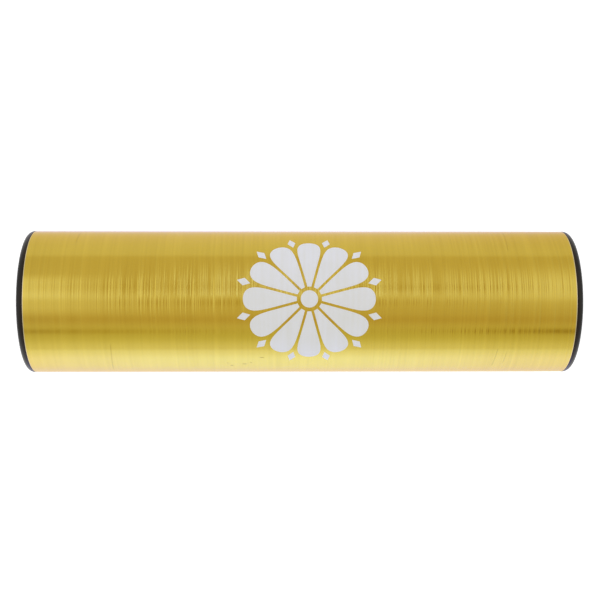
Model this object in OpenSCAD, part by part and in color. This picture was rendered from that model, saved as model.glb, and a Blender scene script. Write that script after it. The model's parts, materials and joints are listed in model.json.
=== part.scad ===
// Ganza shaker: a brushed metal tube, two plastic caps pressed into its ends, and loose steel shot inside.
// It lies along X on the surface z = 0, and the middle of the tube is over the origin.

/* [Tube] */
// Outer diameter of the tube
tube_d = 55; // [48:0.5:66]
// Length of the tube without its caps
tube_l = 205; // [170:1:245]
// Thickness of the tube's wall
tube_wall = 1; // [0.6:0.1:1.6]
// Bevel on the outer edge of each cut end
outer_bevel = 0.3; // [0.1:0.05:0.4]
// Bevel on the inner edge of each cut end, which leads the cap in
inner_bevel = 0.2; // [0.1:0.05:0.3]

/* [End caps] */
// Thickness of the flange, which covers the end of the tube
flange_t = 2.5; // [2:0.1:4]
// Radius of the flange's rounded outer edge
edge_r = 2.3; // [1:0.1:2.4]
// Width of the flat rim between the rounded edge and the recess
rim_w = 4; // [2:0.5:8]
// Depth of the shallow recess in the outer face
recess_depth = 0.6; // [0.2:0.1:1]
// How far the skirt reaches into the tube
skirt_l = 14; // [8:0.5:20]
// Thickness of the skirt's wall
skirt_wall = 1.8; // [1:0.1:2.5]
// Bevel on the inner end of the skirt
skirt_bevel = 0.8; // [0.3:0.1:0.9]
// Radius of the inner corner between skirt and flange
corner_r = 1; // [0.5:0.1:2]
// How many ribs grip the tube round each skirt
rib_count = 3; // [2:1:5]
// Height of a rib above the skirt
rib_h = 0.6; // [0.3:0.1:1]
// Width of a rib at its foot
rib_w = 1.6; // [1:0.1:2]
// Width of a rib at its tip
rib_tip_w = 0.5; // [0.3:0.1:0.9]
// Gap between the tip of a rib and the bore of the tube
rib_gap = 0.05; // [0.02:0.01:0.1]

/* [Shot] */
// Diameter of one steel ball
ball_d = 4; // [3:0.1:4.8]
// Gap between a ball and what lies next to it
ball_gap = 0.3; // [0.2:0.05:0.5]
// Balls in each row of the bottom and upper layers
row_balls = 28; // [10:1:31]
// Balls in the single row on top of the heap
top_balls = 12; // [4:1:31]

/* [Hidden] */
bottom_rows = 5;
upper_rows = bottom_rows - 1;
cut_over = 0.5;
join_over = 0.5;

tube_r = tube_d / 2;
bore_r = tube_r - tube_wall;
axis_z = tube_r;

rib_r = bore_r - rib_gap;
skirt_r = rib_r - rib_h;
skirt_in_r = skirt_r - skirt_wall;
recess_r = tube_r - edge_r - rim_w;

// The balls are packed as a hexagon packs round rods, so each row can slide past its neighbours.
ball_pitch = ball_d + ball_gap;
layer_rise = ball_pitch * sin(60);
bottom_row_r = bore_r - ball_gap - ball_d / 2;
upper_row_r = bottom_row_r - layer_rise;
top_row_r = upper_row_r - layer_rise;
half_angle = asin(ball_pitch / 2 / upper_row_r);

$fn = 96;

// Angle of row k of a layer of count rows, from straight below the axis.
function row_angle(k, count) = (2 * k - count - 1) * half_angle;

// Turns a shape made round the Z axis so that it lies along X at the height of the tube's axis.
module along_tube() {
    translate([0, 0, axis_z]) rotate([0, 90, 0]) children();
}

module tube_profile() {
    half_l = tube_l / 2;
    polygon([
        [bore_r, inner_bevel - half_l],
        [bore_r + inner_bevel, -half_l],
        [tube_r - outer_bevel, -half_l],
        [tube_r, outer_bevel - half_l],
        [tube_r, half_l - outer_bevel],
        [tube_r - outer_bevel, half_l],
        [bore_r + inner_bevel, half_l],
        [bore_r, half_l - inner_bevel]
    ]);
}

module tube() {
    color("goldenrod") along_tube() rotate_extrude() tube_profile();
}

// The flange's outline, with its rounded outer edge. Its inner face is at height 0.
module flange_profile() {
    difference() {
        square([tube_r, flange_t]);
        translate([tube_r - edge_r, flange_t - edge_r]) difference() {
            square(edge_r + cut_over);
            circle(r = edge_r);
        }
    }
}

// The shallow recess in the outer face, with a sloping wall.
module recess() {
    translate([0, 0, flange_t - recess_depth]) {
        cylinder(h = recess_depth + cut_over, r1 = recess_r - recess_depth, r2 = recess_r + cut_over);
    }
}

// The skirt's wall, bevelled at the end that goes in first.
module skirt_profile() {
    polygon([
        [skirt_in_r, join_over],
        [skirt_r, join_over],
        [skirt_r, skirt_bevel - skirt_l],
        [skirt_r - skirt_bevel, -skirt_l],
        [skirt_in_r, -skirt_l]
    ]);
}

// The rounded inner corner where the skirt meets the flange.
module corner_profile() {
    translate([skirt_in_r - corner_r, -corner_r]) difference() {
        square(corner_r + join_over);
        circle(r = corner_r);
    }
}

// One ring-shaped rib, whose foot is sunk in the skirt's wall.
module rib_profile() {
    polygon([
        [skirt_r - join_over, -rib_w / 2],
        [skirt_r, -rib_w / 2],
        [rib_r, -rib_tip_w / 2],
        [rib_r, rib_tip_w / 2],
        [skirt_r, rib_w / 2],
        [skirt_r - join_over, rib_w / 2]
    ]);
}

module cap_body() {
    difference() {
        rotate_extrude() flange_profile();
        recess();
    }
    rotate_extrude() skirt_profile();
    rotate_extrude() corner_profile();
    for (i = [1:rib_count]) {
        translate([0, 0, -skirt_l * i / (rib_count + 1)]) rotate_extrude() rib_profile();
    }
}

// A cap, flange outwards. The side is 1 for the right end of the tube and -1 for the left.
module end_cap(side) {
    color("#202224") along_tube() {
        mirror([0, 0, side < 0 ? 1 : 0]) translate([0, 0, tube_l / 2]) cap_body();
    }
}

// A straight row of loose balls along the tube, at a radius and an angle from straight below the axis.
module shot_row(balls, row_r, angle) {
    color("silver") translate([0, row_r * sin(angle), axis_z - row_r * cos(angle)]) {
        for (i = [1:balls]) {
            translate([(i - (balls + 1) / 2) * ball_pitch, 0, 0]) sphere(d = ball_d);
        }
    }
}

tube();
end_cap(-1);  // end_cap_left
end_cap(1);  // end_cap_right
shot_row(top_balls, top_row_r, 0);  // shot_top_row
for (k = [1:bottom_rows]) {
    union() {
        shot_row(row_balls, bottom_row_r, row_angle(k, bottom_rows));
    }
}
for (k = [1:upper_rows]) {
    union() {
        shot_row(row_balls, upper_row_r, row_angle(k, upper_rows));
    }
}
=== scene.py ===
import json
import math

import bmesh
import bpy
from mathutils import Matrix, Vector

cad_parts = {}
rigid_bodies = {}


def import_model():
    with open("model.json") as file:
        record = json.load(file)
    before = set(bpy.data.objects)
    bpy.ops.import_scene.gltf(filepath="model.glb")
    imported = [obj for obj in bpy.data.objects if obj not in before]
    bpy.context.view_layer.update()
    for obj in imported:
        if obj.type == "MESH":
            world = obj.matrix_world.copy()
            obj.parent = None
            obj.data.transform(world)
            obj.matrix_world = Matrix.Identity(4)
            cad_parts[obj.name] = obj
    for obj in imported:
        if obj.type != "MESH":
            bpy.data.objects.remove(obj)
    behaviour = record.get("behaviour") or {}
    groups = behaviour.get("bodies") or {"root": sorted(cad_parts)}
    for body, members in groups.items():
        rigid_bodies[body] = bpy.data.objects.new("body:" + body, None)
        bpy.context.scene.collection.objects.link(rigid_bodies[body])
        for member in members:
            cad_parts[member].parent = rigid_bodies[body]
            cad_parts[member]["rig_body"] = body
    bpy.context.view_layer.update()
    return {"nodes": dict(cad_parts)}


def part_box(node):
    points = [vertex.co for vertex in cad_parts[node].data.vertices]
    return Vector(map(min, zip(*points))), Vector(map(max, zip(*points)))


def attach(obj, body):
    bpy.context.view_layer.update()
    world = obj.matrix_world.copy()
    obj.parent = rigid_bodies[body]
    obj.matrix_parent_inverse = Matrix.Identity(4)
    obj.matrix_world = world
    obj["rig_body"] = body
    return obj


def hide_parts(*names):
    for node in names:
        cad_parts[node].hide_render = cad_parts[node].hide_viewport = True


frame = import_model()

MM = 0.001

# Sizes of the shaker: the boxes are read from its solids, and the rest repeats the part's own values

TUBE_LOW, TUBE_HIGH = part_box("tube")
TUBE_R = (TUBE_HIGH.y - TUBE_LOW.y) / 2
TUBE_HALF = (TUBE_HIGH.x - TUBE_LOW.x) / 2
AXIS_Z = TUBE_R
TUBE_WALL = 1.0 * MM
BORE_R = TUBE_R - TUBE_WALL
OUTER_BEVEL = 0.3 * MM
INNER_BEVEL = 0.2 * MM

INK_PROUD = 0.02 * MM           # how far the print stands out from the metal
INK_THICK = 0.035 * MM          # the rest of it is sunk in the metal
INK_INSIDE = 0.001 * MM         # how far its top stays inside the solid's box
METAL_R = TUBE_R - INK_PROUD

CAP_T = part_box("end_cap_right")[1].x - TUBE_HALF
CAP_EDGE_R = 2.3 * MM
CAP_RIM_W = 4.0 * MM
CAP_RECESS = 0.6 * MM
CAP_RECESS_R = TUBE_R - CAP_EDGE_R - CAP_RIM_W
GATE_R = 2.0 * MM               # the dimple left in the middle where the plastic was let in
GATE_DEPTH = 0.3 * MM
CAP_SOFT = 0.12 * MM            # how much the edges of the cap's recess are softened
CAP_RIM_RING = 0.3 * MM         # a ring this far inside the rounded edge keeps the rim's shading flat
SKIRT_L = 14.0 * MM
SKIRT_WALL = 1.8 * MM
SKIRT_BEVEL = 0.8 * MM
SKIRT_CORNER_R = 1.0 * MM
RIB_COUNT = 3
RIB_H = 0.6 * MM
RIB_W = 1.6 * MM
RIB_TIP_W = 0.5 * MM
RIB_GAP = 0.05 * MM

BALL_PITCH = 4.3 * MM

# How finely the turned pieces are divided, round them and in their rounded corners

TUBE_STEPS = 320
CAP_STEPS = 224
END_STEPS = 5
CAP_EDGE_STEPS = 20
CORNER_STEPS = 6
SHARP_DEG = 30.0

# Node maths as plain expressions


class Wire:
    """What comes out of a node, so that shader and geometry maths can be written as sums."""

    def __init__(self, socket):
        self.socket = socket
        self.tree = socket.id_data

    @staticmethod
    def node(tree, kind, settings=(), inputs=(), output=0):
        """Adds a node, sets its settings, then its sockets' values or links; returns an output."""
        new = tree.nodes.new(kind)
        for name, value in dict(settings).items():
            setattr(new, name, value)
        pairs = inputs.items() if isinstance(inputs, dict) else enumerate(inputs)
        for key, value in pairs:
            socket = new.inputs[key] if isinstance(key, int) else Wire.find(new.inputs, key)
            if isinstance(value, (Wire, list)):
                for wire in value if isinstance(value, list) else [value]:
                    tree.links.new(wire.socket, socket)
            else:
                socket.default_value = value
        if not len(new.outputs):
            return new
        return Wire(new.outputs[output] if isinstance(output, int) else Wire.find(new.outputs, output))

    @staticmethod
    def find(sockets, key):
        return next(s for s in sockets if key in (s.identifier, s.name) and s.enabled)

    def maths(self, operation, *others):
        return Wire.node(self.tree, "ShaderNodeMath", {"operation": operation}, (self, *others))

    def __add__(self, other):
        return self.maths("ADD", other)

    def __sub__(self, other):
        return self.maths("SUBTRACT", other)

    def __mul__(self, other):
        return self.maths("MULTIPLY", other)

    def __truediv__(self, other):
        return self.maths("DIVIDE", other)

    def __pow__(self, other):
        return self.maths("POWER", other)

    def __neg__(self):
        return self * -1.0

    def __abs__(self):
        return self.maths("ABSOLUTE")

    def __radd__(self, other):
        return self + other

    def __rmul__(self, other):
        return self * other

    def __rsub__(self, other):
        return -self + other

    def __rtruediv__(self, other):
        return self ** -1.0 * other

    def most(self, other):
        return self.maths("MAXIMUM", other)

    def rise(self, start, end):
        """0 up to start, 1 from end on, and a smooth rise between them."""
        return Wire.node(self.tree, "ShaderNodeMapRange", {"interpolation_type": "SMOOTHSTEP"},
                         {"Value": self, "From Min": start, "From Max": end})

    def bell(self, middle, width):
        """1 at middle, falling off as a bell curve of that standard deviation."""
        return (((self - middle) * (1 / width)) ** 2.0 * -0.5).maths("EXPONENT")


def split(vector):
    return [Wire.node(vector.tree, "ShaderNodeSeparateXYZ", (), (vector,), i) for i in range(3)]


def join(x, y, z):
    tree = next(part.tree for part in (x, y, z) if isinstance(part, Wire))
    return Wire.node(tree, "ShaderNodeCombineXYZ", (), (x, y, z))


def blend(amount, first, second):
    """Mixes two colours by an amount that varies."""
    first, second = (c if isinstance(c, Wire) else (*c, 1.0) for c in (first, second))
    return Wire.node(amount.tree, "ShaderNodeMix", {"data_type": "RGBA"},
                     {"Factor_Float": amount, "A_Color": first, "B_Color": second}, "Result_Color")


def noise(place, detail=2.0, roughness=0.5, distortion=0.0):
    return Wire.node(place.tree, "ShaderNodeTexNoise", {"noise_dimensions": "3D"},
                     {"Vector": place, "Scale": 1.0, "Detail": detail, "Roughness": roughness,
                      "Distortion": distortion})


def speckle(x, y, z, per_mm, **kind):
    """Noise of about this many specks to the millimetre, the same in every direction."""
    return noise(join(x * per_mm, y * per_mm, z * per_mm), **kind)


# Finishes


def new_finish(name, **constants):
    """A material with one shader, whose constants are set on the shader's own sockets."""
    finish = bpy.data.materials.new(name)
    finish.use_nodes = True
    tree = finish.node_tree
    tree.nodes.clear()
    shader = tree.nodes.new("ShaderNodeBsdfPrincipled")
    surface = tree.nodes.new("ShaderNodeOutputMaterial")
    tree.links.new(shader.outputs["BSDF"], surface.inputs["Surface"])
    for key, value in constants.items():
        shader.inputs[key.replace("_", " ")].default_value = value
    where = Wire.node(tree, "ShaderNodeTexCoord", output="Object")
    return finish, tree, shader, where


def drive(tree, shader, **wires):
    for key, wire in wires.items():
        tree.links.new(wire.socket, shader.inputs[key.replace("_", " ")])


def relief(height, distance):
    return Wire.node(height.tree, "ShaderNodeBump", (), {"Height": height, "Distance": distance},
                     "Normal")


def in_mm(where):
    """Object coordinates in millimetres: along the tube, across it, and up from its axis."""
    x, y, z = split(where)
    return x * (1 / MM), y * (1 / MM), (z - AXIS_Z) * (1 / MM)


def brush_strokes(x, y, z, width, length, detail=0.0):
    """Grooves of this width and length that run round the tube, without a seam.

    They lean a little, one way on one stretch of the tube and the other way on the next."""
    most_lean = 0.02
    lean = noise(join(x * 0.012, y * 0.02, z * 0.02), detail=1.0) - 0.5
    across = x + y * lean * most_lean
    return noise(join(across * (1 / width), y * (1 / length), z * (1 / length)), detail=detail)


def spot(x, turn, at_x, at_turn, half_l, half_turn):
    """1 inside a small oval mark on the tube, 0 outside it, with a soft edge."""
    far = ((x - at_x) / half_l) ** 2.0 + ((turn - at_turn) / half_turn) ** 2.0
    return 1.0 - far.rise(0.4, 1.3)


def scratch(x, turn, start, end, half_w):
    """1 along a fine straight line on the tube between two points, each (mm along, degrees)."""
    fade = 2.0
    (x0, t0), (x1, t1) = start, end
    lean = (x1 - x0) / (t1 - t0)
    off = abs(x - ((turn - t0) * lean + x0))
    low, high = min(t0, t1), max(t0, t1)
    ends = turn.rise(low - fade, low + fade) * (1.0 - turn.rise(high - fade, high + fade))
    return (1.0 - off.rise(half_w * 0.3, half_w)) * ends


def brushed_gold():
    """Gold anodised aluminium, brushed round the tube, with a few chips and hairline scratches."""
    finish, tree, shader, where = new_finish(
        "gold_anodised_brushed", Metallic=1.0, Specular_Tint=(0.93, 0.80, 0.60, 1.0),
        Coat_Weight=0.2, Coat_Roughness=0.06)
    deep_gold = (0.65, 0.460, 0.062)
    pale_gold = (0.79, 0.580, 0.088)
    worn_and_highlit_gold = (0.86, 0.74, 0.52)
    scratched = (0.40, 0.26, 0.03)
    chipped = (0.26, 0.18, 0.02)
    pale_edge_from, pale_edge_full = 102.0, 102.3
    x, y, z = in_mm(where)
    turn = y.maths("ARCTAN2", z) * (180 / math.pi)

    # the strokes of the brush, from the finest to the broadest
    hair = brush_strokes(x, y, z, width=0.30, length=30.0, detail=1.0)
    fine = brush_strokes(x, y, z, width=0.55, length=45.0)
    middle = brush_strokes(x, y, z, width=1.4, length=75.0)
    wide = brush_strokes(x, y, z, width=5.0, length=110.0)
    cloud = noise(join(x * 0.03, y * 0.05, z * 0.05), detail=3.0)

    # small chips, each with its place (mm along, degrees round) and half its length and width
    chips = spot(x, turn, -14.5, -50.0, 1.0, 0.55)
    for at_x, at_turn, half_l, half_turn in ((-21.2, -59.5, 1.1, 0.7), (-26.0, -62.0, 0.7, 0.8),
                                             (-27.5, -58.0, 0.4, 0.5), (-18.7, -57.4, 0.5, 0.5)):
        chips = chips.most(spot(x, turn, at_x, at_turn, half_l, half_turn))

    # hairline scratches, each with its two ends and half its width
    lines = scratch(x, turn, (-70.7, -36.0), (-71.3, -70.0), 0.32)
    for start, end, half_w in (((74.0, -40.0), (73.2, -62.0), 0.3),
                               ((77.5, -44.0), (77.0, -58.0), 0.25),
                               ((78.4, 78.0), (78.1, 44.0), 0.25),
                               ((-84.0, 78.0), (-84.6, 54.0), 0.25)):
        lines = lines.most(scratch(x, turn, start, end, half_w))

    shade = (hair - 0.5) * 0.28 + (fine - 0.5) * 0.40 + (middle - 0.5) * 0.32 + (wide - 0.5) * 0.25 \
        + (cloud - 0.5) * 0.3
    colour = blend(shade + 0.5, deep_gold, pale_gold)
    # paler gold on the rounded ends: wear, together with a painted highlight along the tube's edges
    colour = blend(abs(x).rise(pale_edge_from, pale_edge_full) * 0.85, colour, worn_and_highlit_gold)
    colour = blend(lines * 0.35, colour, scratched)
    colour = blend(chips * 0.5, colour, chipped)

    # the brush bit less towards both ends, and less on the front of the tube than on its back
    depth = 1.0 - x.rise(-35.0, -92.0) * 0.72 - x.rise(40.0, 102.0) * 0.3
    depth = depth * (1.0 - turn.rise(-5.0, -18.0) * (1.0 - turn.rise(-140.0, -175.0)) * 0.4)
    grooves = (fine + middle + wide - 1.5) * depth
    drive(tree, shader, Base_Color=colour,
          Roughness=0.135 + (middle - 0.5) * 0.10 + (fine - 0.5) * 0.08 + chips * 0.2,
          Normal=relief(grooves - lines * 0.1 - chips * 0.15, 0.058 * MM))
    return finish


def bare_aluminium():
    """The saw-cut and bevelled ends and the bore, where the metal has no colour."""
    finish, tree, shader, where = new_finish("bare_aluminium", Metallic=1.0)
    dull_metal = (0.62, 0.60, 0.56)
    bright_metal = (0.86, 0.84, 0.80)
    x, y, z = in_mm(where)
    drawn = noise(join(x * 0.05, y * 1.6, z * 1.6))
    grain = speckle(x, y, z, 5.0, detail=3.0)
    drive(tree, shader,
          Base_Color=blend(drawn * 0.6 + grain * 0.4, dull_metal, bright_metal),
          Roughness=0.26 + grain * 0.18,
          Normal=relief(drawn + grain * 0.4, 0.015 * MM))
    return finish


def black_plastic():
    """Black moulded plastic: satin and finely grained, smoother at the rounded edge, where hands
    rub it, and scuffed in arcs on the flat rim, on which the shaker is stood and turned."""
    finish, tree, shader, where = new_finish(
        "black_plastic_satin", IOR=1.5, Specular_IOR_Level=0.3, Specular_Tint=(1.0, 0.92, 0.81, 1.0))
    deep_black = (0.0060, 0.0056, 0.0052)
    pale_black = (0.0140, 0.0131, 0.0120)
    scuffed = (0.070, 0.067, 0.062)
    painted_gold_reflection = (0.016, 0.006, 0.002)
    x, y, z = in_mm(where)
    out = ((y ** 2.0 + z ** 2.0) ** 0.5).most(0.001)

    # the rounded edge and the flat rim, by their distance from the axis
    edge = out.rise(24.6, 26.9)
    rim = out.rise(20.6, 21.4) * (1.0 - out.rise(24.4, 25.6))

    grain = speckle(x, y, z, 7.0)
    flow = noise(join(x * 0.25, y * 0.12, z * 0.12), detail=3.0, distortion=0.6)
    arcs = noise(join(out * 4.5, y / out * 7.0, z / out * 7.0), detail=3.0, roughness=0.6)
    rubbed = noise(join(x * 0.9, y * 0.30, z * 1.6), detail=4.0, roughness=0.7)
    scuff = (arcs.rise(0.52, 0.68) * rim).most(rubbed.rise(0.58, 0.74) * 0.6)
    colour = blend(flow, deep_black, pale_black)
    colour = blend(scuff * 0.5, colour, scuffed)

    # painted reflection of the gold tube: browner where the flange meets it
    colour = blend(abs(x).rise(103.7, 102.6) * 0.7, colour, painted_gold_reflection)
    drive(tree, shader, Base_Color=colour,
          Roughness=0.40 - edge * 0.08 + (grain - 0.5) * 0.16 + scuff * 0.10 + (flow - 0.5) * 0.16,
          Normal=relief(grain + flow * 2.0 + scuff * 0.6, 0.010 * MM))
    return finish


def steel_shot():
    """Tumbled steel balls with fine scuffs and a slight oily darkening."""
    finish, tree, shader, where = new_finish("steel_shot", Metallic=1.0)
    oily_steel = (0.38, 0.375, 0.37)
    clean_steel = (0.66, 0.66, 0.67)
    x, y, z = in_mm(where)
    scuff = speckle(x, y, z, 2.4, detail=4.0, roughness=0.65)
    tint = speckle(x, y, z, 0.18, detail=1.0)
    drive(tree, shader,
          Base_Color=blend(tint * 0.5 + scuff * 0.5, oily_steel, clean_steel),
          Roughness=0.16 + scuff * 0.28,
          Normal=relief(scuff, 0.02 * MM))
    return finish


def white_ink():
    """Screen-printed white ink, thin enough to follow the brushed metal under it."""
    finish, tree, shader, where = new_finish("white_printing_ink", IOR=1.46, Specular_IOR_Level=0.3)
    warm_white = (0.81, 0.81, 0.79)
    cool_white = (0.90, 0.915, 1.0)
    x, y, z = in_mm(where)
    under = brush_strokes(x, y, z, width=1.1, length=26.0)
    mesh = speckle(x, y, z, 3.2, detail=1.0)
    cloud = noise(join(x * 0.10, y * 0.12, z * 0.12))
    # paler and bluer towards +y and warmer towards -y: painted light and shade that even out the tinted
    # light on the print
    shade = (under - 0.5) * 0.5 + (mesh - 0.5) * 0.25 + (cloud - 0.5) * 0.6 + y.rise(-20.0, 24.0) * 0.5 \
        + 0.25
    drive(tree, shader,
          Base_Color=blend(shade, warm_white, cool_white),
          Roughness=0.52 + (mesh - 0.5) * 0.12,
          Normal=relief(under + mesh * 0.3, 0.006 * MM))
    return finish


def studio_white():
    """Pale paper that glows until it is white, with a painted soft shadow where the tube lies on it."""
    finish, tree, shader, where = new_finish(
        "studio_white", Roughness=0.9, Specular_IOR_Level=0.0, Emission_Strength=0.66)
    paper_dark = (0.885, 0.885, 0.885)
    paper_light = (0.90, 0.90, 0.90)
    painted_shadow_paper = (0.22, 0.23, 0.25)
    paper_glow = (0.93, 0.94, 1.0)
    painted_shadow_glow = (0.40, 0.42, 0.46)
    x, y, _ = in_mm(where)
    # painted shadow under the tube: the paper is darker and its glow dimmer there
    shade = (1.0 - abs(y).rise(3.0, 28.0)) * (1.0 - abs(x).rise(96.0, 110.0))
    colour = blend(noise(where), paper_dark, paper_light)
    drive(tree, shader, Base_Color=blend(shade, colour, painted_shadow_paper),
          Emission_Color=blend(shade, paper_glow, painted_shadow_glow))
    return finish


def backdrop_white():
    """A white cloth far behind the object."""
    finish, tree, shader, where = new_finish(
        "backdrop_white", Roughness=1.0, Specular_IOR_Level=0.0, Base_Color=(0.0, 0.0, 0.0, 1.0),
        Emission_Strength=1.0)
    cloth_dark = (0.985, 0.985, 0.985)
    cloth_light = (1.0, 1.0, 1.0)
    drive(tree, shader, Emission_Color=blend(noise(where), cloth_dark, cloth_light))
    return finish


# Shapes


def new_piece(name, mesh, *finishes):
    piece = bpy.data.objects.new(name, mesh)
    bpy.context.scene.collection.objects.link(piece)
    for finish in finishes:
        piece.data.materials.append(finish)
    return piece


def turned(name, outline, steps):
    """Turns a closed outline of (x, radius) points round the tube's axis.

    Each outline point may carry a third value, the finish of the band that starts there."""
    mesh = bpy.data.meshes.new(name)
    shape = bmesh.new()
    rings = []
    for x, radius, *_ in outline:
        if radius == 0:
            rings.append([shape.verts.new((x, 0, AXIS_Z))] * steps)
            continue
        rings.append([shape.verts.new((x, radius * math.sin(a), AXIS_Z + radius * math.cos(a)))
                      for a in (2 * math.pi * i / steps for i in range(steps))])
    for i, (x, radius, *finish) in enumerate(outline):
        near, far = rings[i], rings[(i + 1) % len(rings)]
        if near[0] == near[1] and far[0] == far[1]:
            continue
        for j in range(steps):
            corners = [near[j], near[(j + 1) % steps], far[(j + 1) % steps], far[j]]
            face = shape.faces.new(list(dict.fromkeys(corners)))
            face.material_index = finish[0] if finish else 0
            face.smooth = True
    bmesh.ops.recalc_face_normals(shape, faces=shape.faces)
    shape.to_mesh(mesh)
    shape.free()
    mesh.set_sharp_from_angle(angle=math.radians(SHARP_DEG))
    return mesh


def arc(x, radius, r, start_deg, end_deg, steps):
    """Points of a rounded corner of radius r about (x, radius); 0 degrees points outwards."""
    for i in range(steps + 1):
        a = math.radians(start_deg + (end_deg - start_deg) * i / steps)
        yield x + r * math.sin(a), radius + r * math.cos(a)


def tube_outline():
    """The tube's wall in section, with rounded edges. Its cut faces and bore are bare of colour."""
    gold, bare = 0, 1
    round_end = TUBE_HALF - OUTER_BEVEL
    flat_end = round_end - 0.4 * MM     # a ring here keeps the shading of the long wall level
    outline = [(x, METAL_R, gold) for x in (-round_end, -flat_end, 0.0, flat_end)]
    end = list(arc(round_end, METAL_R - OUTER_BEVEL, OUTER_BEVEL, 0, 90, END_STEPS))
    end += [(TUBE_HALF, BORE_R + INNER_BEVEL), (TUBE_HALF - INNER_BEVEL, BORE_R)]
    outline += [(x, radius, gold if i < END_STEPS else bare) for i, (x, radius) in enumerate(end)]
    left_end = list(reversed(end[1:]))
    outline += [(-x, radius, gold if i >= len(left_end) - END_STEPS else bare)
                for i, (x, radius) in enumerate(left_end)]
    return outline


def cap_outline():
    """The right-hand cap's half section, from the middle of its outer face round to the inside."""
    face_x = TUBE_HALF + CAP_T
    edge_x = face_x - CAP_EDGE_R
    rib_r = BORE_R - RIB_GAP
    skirt_r = rib_r - RIB_H
    skirt_in_r = skirt_r - SKIRT_WALL

    # the outer face: the gate's dimple, the recess and the flat rim
    recess_x = face_x - CAP_RECESS
    recess_foot_r = CAP_RECESS_R - CAP_RECESS
    rim_r = TUBE_R - CAP_EDGE_R
    points = [(recess_x - GATE_DEPTH, 0.0), (recess_x - GATE_DEPTH, GATE_R - GATE_DEPTH),
              (recess_x, GATE_R), (recess_x, GATE_R + CAP_SOFT),
              (recess_x, recess_foot_r - CAP_SOFT),
              (recess_x + CAP_SOFT / 2, recess_foot_r + CAP_SOFT / 2),
              (face_x - CAP_SOFT / 2, CAP_RECESS_R - CAP_SOFT / 2), (face_x, CAP_RECESS_R + CAP_SOFT),
              (face_x, rim_r - CAP_RIM_RING)]
    points += reversed(list(arc(edge_x, rim_r, CAP_EDGE_R, 0, 90, CAP_EDGE_STEPS)))
    points += [(TUBE_HALF, TUBE_R), (TUBE_HALF, skirt_r)]

    # the skirt with its ribs, and the corner inside it
    for i in range(1, RIB_COUNT + 1):
        rib_x = TUBE_HALF - SKIRT_L * i / (RIB_COUNT + 1)
        points += [(rib_x + RIB_W / 2, skirt_r), (rib_x + RIB_TIP_W / 2, rib_r),
                   (rib_x - RIB_TIP_W / 2, rib_r), (rib_x - RIB_W / 2, skirt_r)]
    end_x = TUBE_HALF - SKIRT_L
    points += [(end_x + SKIRT_BEVEL, skirt_r), (end_x, skirt_r - SKIRT_BEVEL), (end_x, skirt_in_r)]
    corner_x = TUBE_HALF - SKIRT_CORNER_R
    corner_r = skirt_in_r - SKIRT_CORNER_R
    points += arc(corner_x, corner_r, SKIRT_CORNER_R, 0, 90, CORNER_STEPS)
    points.append((TUBE_HALF, 0.0))
    return points


# Repeated shapes, made by node trees


def new_tree(name, **sizes):
    """A geometry tree with named number inputs; returns it, its inputs by name, and their ids."""
    tree = bpy.data.node_groups.new(name, "GeometryNodeTree")
    tree.interface.new_socket("Geometry", in_out="OUTPUT", socket_type="NodeSocketGeometry")
    kinds = {int: "NodeSocketInt", float: "NodeSocketFloat"}
    ids = {}
    for key, kind in sizes.items():
        item = tree.interface.new_socket(key, in_out="INPUT", socket_type=kinds[kind])
        ids[key] = item.identifier
    source = tree.nodes.new("NodeGroupInput")
    wires = {key: Wire(source.outputs[key]) for key in sizes}
    return tree, wires, ids


def end_tree(shape, finish):
    """Ends a geometry tree: the copies become real, and take their finish."""
    tree = shape.tree
    shape = Wire.node(tree, "GeometryNodeRealizeInstances", (), (shape,))
    shape = Wire.node(tree, "GeometryNodeSetShadeSmooth", (), (shape,))
    shape = Wire.node(tree, "GeometryNodeSetMaterial", (), {"Geometry": shape, "Material": finish})
    Wire.node(tree, "NodeGroupOutput", (), (shape,))


def grow(name, tree, ids, finish, **values):
    """Runs a geometry tree with these sizes and keeps the result as a plain mesh."""
    sharp_deg = 40
    seed = new_piece(name + "_seed", bpy.data.meshes.new(name + "_seed"))
    modifier = seed.modifiers.new("shape", "NODES")
    modifier.node_group = tree
    for key, value in values.items():
        modifier[ids[key]] = value
    bpy.context.view_layer.update()
    graph = bpy.context.evaluated_depsgraph_get()
    mesh = bpy.data.meshes.new_from_object(seed.evaluated_get(graph), depsgraph=graph)
    mesh.name = name
    mesh.set_sharp_from_angle(angle=math.radians(sharp_deg))
    bpy.data.objects.remove(seed)
    mesh.materials.clear()
    return new_piece(name, mesh, finish)


def shot_tree(finish):
    """A straight row of balls, each turned its own way."""
    tree, size, ids = new_tree("shot_row", count=int, pitch=float, ball_r=float,
                               start_x=float, y=float, z=float, seed=int)
    line = Wire.node(tree, "GeometryNodeMeshLine", {"mode": "OFFSET"}, {
        "Count": size["count"], "Start Location": join(size["start_x"], size["y"], size["z"]),
        "Offset": join(size["pitch"], 0.0, 0.0)})
    ball = Wire.node(tree, "GeometryNodeMeshIcoSphere", (),
                     {"Radius": size["ball_r"], "Subdivisions": 2})
    full_turns = (math.tau, math.tau, math.tau)
    turn = Wire.node(tree, "FunctionNodeRandomValue", {"data_type": "FLOAT_VECTOR"},
                     {"Min": (0.0, 0.0, 0.0), "Max": full_turns, "Seed": size["seed"]})
    balls = Wire.node(tree, "GeometryNodeInstanceOnPoints", (),
                      {"Points": line, "Instance": ball, "Rotation": turn})
    end_tree(balls, finish)
    return tree, ids


def round_the_middle(shape, count, first_turn):
    """Copies of a flat shape, turned evenly round the origin."""
    tree = shape.tree
    points = Wire.node(tree, "GeometryNodeMeshLine", {"mode": "OFFSET"},
                       {"Count": count, "Offset": (0.0, 0.0, 0.0)})
    index = Wire.node(tree, "GeometryNodeInputIndex")
    turn = (index + first_turn) * (math.tau / count)
    return Wire.node(tree, "GeometryNodeInstanceOnPoints", (),
                     {"Points": points, "Instance": shape, "Rotation": join(0.0, 0.0, turn)})


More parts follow.
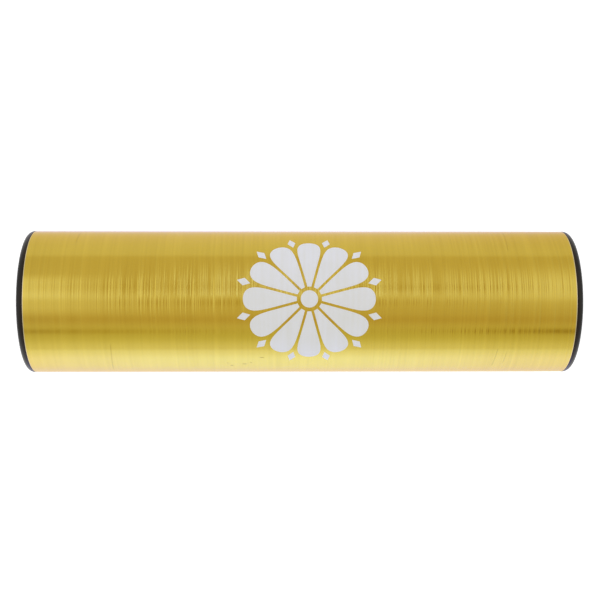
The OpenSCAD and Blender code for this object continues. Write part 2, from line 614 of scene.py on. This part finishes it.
def slab(tree, long_steps, wide_steps):
    """A flat block of one unit, and the place of each of its points along, across and up."""
    block = Wire.node(tree, "GeometryNodeMeshCube", (), {
        "Vertices X": long_steps + 1, "Vertices Y": wide_steps + 1, "Vertices Z": 2})
    along, across, up = split(Wire.node(tree, "GeometryNodeInputPosition"))
    return block, along + 0.5, across * 2.0, up + 0.5


def placed(shape, x, y, z):
    return Wire.node(shape.tree, "GeometryNodeSetPosition", (),
                     {"Geometry": shape, "Position": join(x, y, z)})


def rosette_tree(finish):
    """A flower of petals and diamonds, drawn flat and then laid round the tube."""
    tree, size, ids = new_tree(
        "rosette", petals=int, petal_start=float, petal_end=float, petal_gap=float, middle_r=float,
        diamond_at=float, diamond_l=float, diamond_w=float, at_x=float, at_arc=float,
        wrap_r=float, wrap_z=float, thick=float)

    # a petal fills its sector up to the gap, and is rounded off at its outer end
    nearly = 0.997      # so that the very end keeps a little width
    petal, along, across, up = slab(tree, long_steps=30, wide_steps=10)
    out = 1.0 - (1.0 - along) ** 2.0
    far = size["petal_start"] + (size["petal_end"] - size["petal_start"]) * out
    sector = (math.pi / size["petals"]).maths("TANGENT")
    half = (far * sector - size["petal_gap"] * 0.5) * (1.0 - out ** 6.0 * nearly) ** 0.5
    petal = placed(petal, far, across * half, up)

    # a diamond outside each gap between petals
    nearly = 0.98       # so that its tips keep a little width
    diamond, along, across, up = slab(tree, long_steps=6, wide_steps=4)
    half = (1.0 - abs(along * 2.0 - 1.0) * nearly) * size["diamond_w"] * 0.5
    diamond = placed(diamond, size["diamond_at"] + (along - 0.5) * size["diamond_l"],
                     across * half, up)

    middle = Wire.node(tree, "GeometryNodeMeshCylinder", {"fill_type": "TRIANGLE_FAN"}, {
        "Vertices": 48, "Side Segments": 1, "Fill Segments": 4, "Radius": size["middle_r"],
        "Depth": 1.0})
    x, y, up = split(Wire.node(tree, "GeometryNodeInputPosition"))
    middle = placed(middle, x, y, up + 0.5)

    flower = Wire.node(tree, "GeometryNodeJoinGeometry", (), (
        [round_the_middle(petal, size["petals"], 0.0),
         round_the_middle(diamond, size["petals"], 0.5), middle],))
    flower = Wire.node(tree, "GeometryNodeRealizeInstances", (), (flower,))

    # across the flower becomes round the tube, and up becomes out from its axis
    x, y, up = split(Wire.node(tree, "GeometryNodeInputPosition"))
    turn = (y + size["at_arc"]) / size["wrap_r"]
    radius = size["wrap_r"] - size["thick"] * (1.0 - up)
    end_tree(placed(flower, x + size["at_x"], turn.maths("SINE") * radius,
                    turn.maths("COSINE") * radius + size["wrap_z"]), finish)
    return tree, ids


# Making the pieces

gold = brushed_gold()
aluminium = bare_aluminium()
plastic = black_plastic()
steel = steel_shot()
ink = white_ink()

tube = new_piece("tube_brushed", turned("tube_brushed", tube_outline(), TUBE_STEPS), gold, aluminium)
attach(tube, "shaker")
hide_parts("tube")

for side, sign in (("left", -1), ("right", 1)):
    outline = [(sign * x, radius) for x, radius in cap_outline()]
    cap = new_piece("cap_" + side, turned("cap_" + side, outline, CAP_STEPS), plastic)
    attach(cap, "shaker")
    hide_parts("end_cap_" + side)

shot_nodes, shot_ids = shot_tree(steel)
for seed, node in enumerate(sorted(n for n in frame["nodes"] if n.startswith("shot_"))):
    low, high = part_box(node)
    ball_r = (high.z - low.z) / 2
    count = round((high.x - low.x - 2 * ball_r) / BALL_PITCH) + 1
    body = frame["nodes"][node]["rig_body"]
    row = grow(node.replace("shot", "balls"), shot_nodes, shot_ids, steel, count=count,
               pitch=BALL_PITCH, ball_r=ball_r, start_x=low.x + ball_r, y=(low.y + high.y) / 2,
               z=(low.z + high.z) / 2, seed=seed)
    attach(row, body)
    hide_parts(node)

print_nodes, print_ids = rosette_tree(ink)
rosette = grow("print_rosette", print_nodes, print_ids, ink, petals=12, petal_start=4.6 * MM,
               petal_end=24.5 * MM, petal_gap=1.0 * MM, middle_r=3.2 * MM, diamond_at=25.1 * MM,
               diamond_l=5.0 * MM, diamond_w=3.0 * MM, at_x=3.1 * MM, at_arc=1.0 * MM,
               wrap_r=TUBE_R - INK_INSIDE, wrap_z=AXIS_Z, thick=INK_THICK)
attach(rosette, "shaker")

# Studio

FLOOR_HALF = 4.0
BACKDROP_R = 5.0


def studio_floor():
    """A plain floor at the height that the shaker lies on."""
    mesh = bpy.data.meshes.new("studio_floor")
    corners = [(-FLOOR_HALF, -FLOOR_HALF, 0), (FLOOR_HALF, -FLOOR_HALF, 0),
               (FLOOR_HALF, FLOOR_HALF, 0), (-FLOOR_HALF, FLOOR_HALF, 0)]
    mesh.from_pydata(corners, [], [(0, 1, 2, 3)])
    return new_piece("studio_floor", mesh, studio_white())


def studio_backdrop():
    """A large hollow ball round everything, whose faces point inwards."""
    mesh = bpy.data.meshes.new("studio_backdrop")
    dome = bmesh.new()
    bmesh.ops.create_uvsphere(dome, u_segments=64, v_segments=32, radius=BACKDROP_R)
    bmesh.ops.reverse_faces(dome, faces=dome.faces)
    dome.to_mesh(mesh)
    dome.free()
    return new_piece("studio_backdrop", mesh, backdrop_white())


# only the camera sees the floor and the backdrop, so the light comes from the world alone
for thing in (studio_floor(), studio_backdrop()):
    for kind in ("diffuse", "glossy", "transmission", "volume_scatter", "shadow"):
        setattr(thing, "visible_" + kind, False)


def studio_light():
    """Soft light from all round, as bands along the tube: lamps overhead, a far wall behind,
    a bright white table in front, and dark gaps between them.

    The angle turn is in degrees round the tube, from 0 overhead to 90 behind and -90 in front,
    and x is the share of a direction that points along the tube."""
    world = bpy.data.worlds.new("studio_light")
    bpy.context.scene.world = world
    world.use_nodes = True
    tree = world.node_tree
    tree.nodes.clear()
    x, y, z = split(Wire.node(tree, "ShaderNodeTexCoord", output="Generated"))
    turn = y.maths("ARCTAN2", z) * (180 / math.pi)
    left, right = -x, x

    # bands along the whole tube
    room = 0.68
    far_wall = turn.rise(75.0, 82.0) * 0.09 + turn.rise(70.0, 210.0) * 0.25
    table = turn.rise(-55.0, -81.0) * 0.21 + turn.rise(-81.0, -87.0) * 0.14 \
        + turn.rise(-83.0, -108.0) * 0.16 - turn.rise(-108.0, -300.0) * 0.67
    lamps = turn.bell(11.0, 6.0) * 0.10 + turn.bell(35.0, 14.0) * 0.05
    beam = turn.bell(-29.0, 5.0) * 0.06
    glow = far_wall + table + lamps - beam + turn.rise(-13.0, -10.0) * 0.02 + room

    # the gap between table and ceiling, which gets darker towards both ends
    gap = abs(x).rise(0.0, 0.12) * 0.02 + left.rise(0.0, 0.26) * 0.16 + right.rise(0.14, 0.26) * 0.26
    glow = glow - turn.bell(-49.0, 3.0) * gap

    # the soft box over the middle, with dark edges
    near = 1.0 - abs(x).rise(0.0, 0.058)
    glow = glow + (near * 0.45 - 0.07) * turn.rise(3.0, 14.0) * (1.0 - turn.rise(32.0, 76.0))
    glow = glow - left.bell(0.09, 0.05) * turn.bell(22.0, 10.0) * 0.08
    glow = glow - left.bell(0.01, 0.035) * turn.bell(-1.0, 4.5) * 0.16
    glow = glow - right.bell(0.09, 0.04) * turn.bell(22.0, 4.0) * 0.15
    glow = glow + (abs(x).rise(0.0, 0.3) * 0.07 - 0.02) * turn.bell(48.0, 9.0)

    # brighter boxes over both ends
    above = turn.rise(0.0, 12.0)
    glow = glow + left.rise(0.05, 0.28) * turn.rise(-27.0, -10.0) * (1.0 - above) * 0.18
    glow = glow + left.rise(0.1, 0.25) * above * (1.0 - turn.rise(30.0, 48.0)) * 0.31
    glow = glow + right.rise(0.12, 0.25) * turn.bell(26.0, 15.0) * 0.26
    glow = glow - right.rise(0.1, 0.24) * (1.0 - turn.bell(20.0, 35.0)) * 0.04
    glow = glow - abs(x).rise(0.08, 0.24) * turn.rise(85.0, 110.0) * 0.03

    # the walls past both ends, lit from above
    poles = abs(x).rise(0.7, 0.97)
    end_wall = z.rise(-0.05, 0.6) * 0.95 + z.rise(0.05, -0.5) * 0.35 + 0.45
    glow = glow * (1.0 - poles) + poles * end_wall

    # brighter light is bluer and dimmer light is redder; past the ends and underneath it is plain
    level = glow * (1 / 0.78)
    green = level ** 1.5 * (turn.bell(-57.0, 13.0) * 0.07 - turn.bell(-29.0, 6.0) * 0.02
                            - turn.rise(90.0, 135.0) * 0.045
                            - abs(x).rise(0.02, 0.24) * turn.rise(-85.0, -105.0) * 0.05 + 0.76)
    blue = level ** 3.4 * 0.69
    tinted = join(glow, green, blue)
    plain = left.rise(0.16, 0.32).most(right.rise(0.23, 0.36)).most((-turn).rise(135.0, 165.0))
    colour = blend(plain, tinted, join(glow, glow, glow))
    light = Wire.node(tree, "ShaderNodeBackground", (), {"Color": colour})
    Wire.node(tree, "ShaderNodeOutputWorld", (), {"Surface": light})


studio_light()

# Camera, which looks straight down on the middle of the tube, turned a little to one side

CAMERA_FAR = 453.1 * MM         # from the tube's axis
CAMERA_YAW = 0.0192             # how far it is turned about the picture's upright, in radians
AIM_RIGHT = 0.157 * MM
AIM_UP = 0.588 * MM
SENSOR_MM = 36.0
LENS_MM = 69.35

back = Vector((-math.sin(CAMERA_YAW), 0, math.cos(CAMERA_YAW)))
up = Vector((0, 1, 0))
right = up.cross(back)
camera_data = bpy.data.cameras.new("camera")
camera_data.sensor_width = SENSOR_MM
camera_data.lens = LENS_MM
camera_data.clip_start = 0.01
camera_data.clip_end = 50.0
camera = bpy.data.objects.new("camera", camera_data)
bpy.context.scene.collection.objects.link(camera)
eye = Vector((0, 0, AXIS_Z)) + back * CAMERA_FAR + right * AIM_RIGHT + up * AIM_UP
camera.matrix_world = Matrix((
    (right.x, up.x, back.x, eye.x),
    (right.y, up.y, back.y, eye.y),
    (right.z, up.z, back.z, eye.z),
    (0, 0, 0, 1)))
bpy.context.scene.camera = camera
bpy.context.scene.view_settings.view_transform = "Standard"
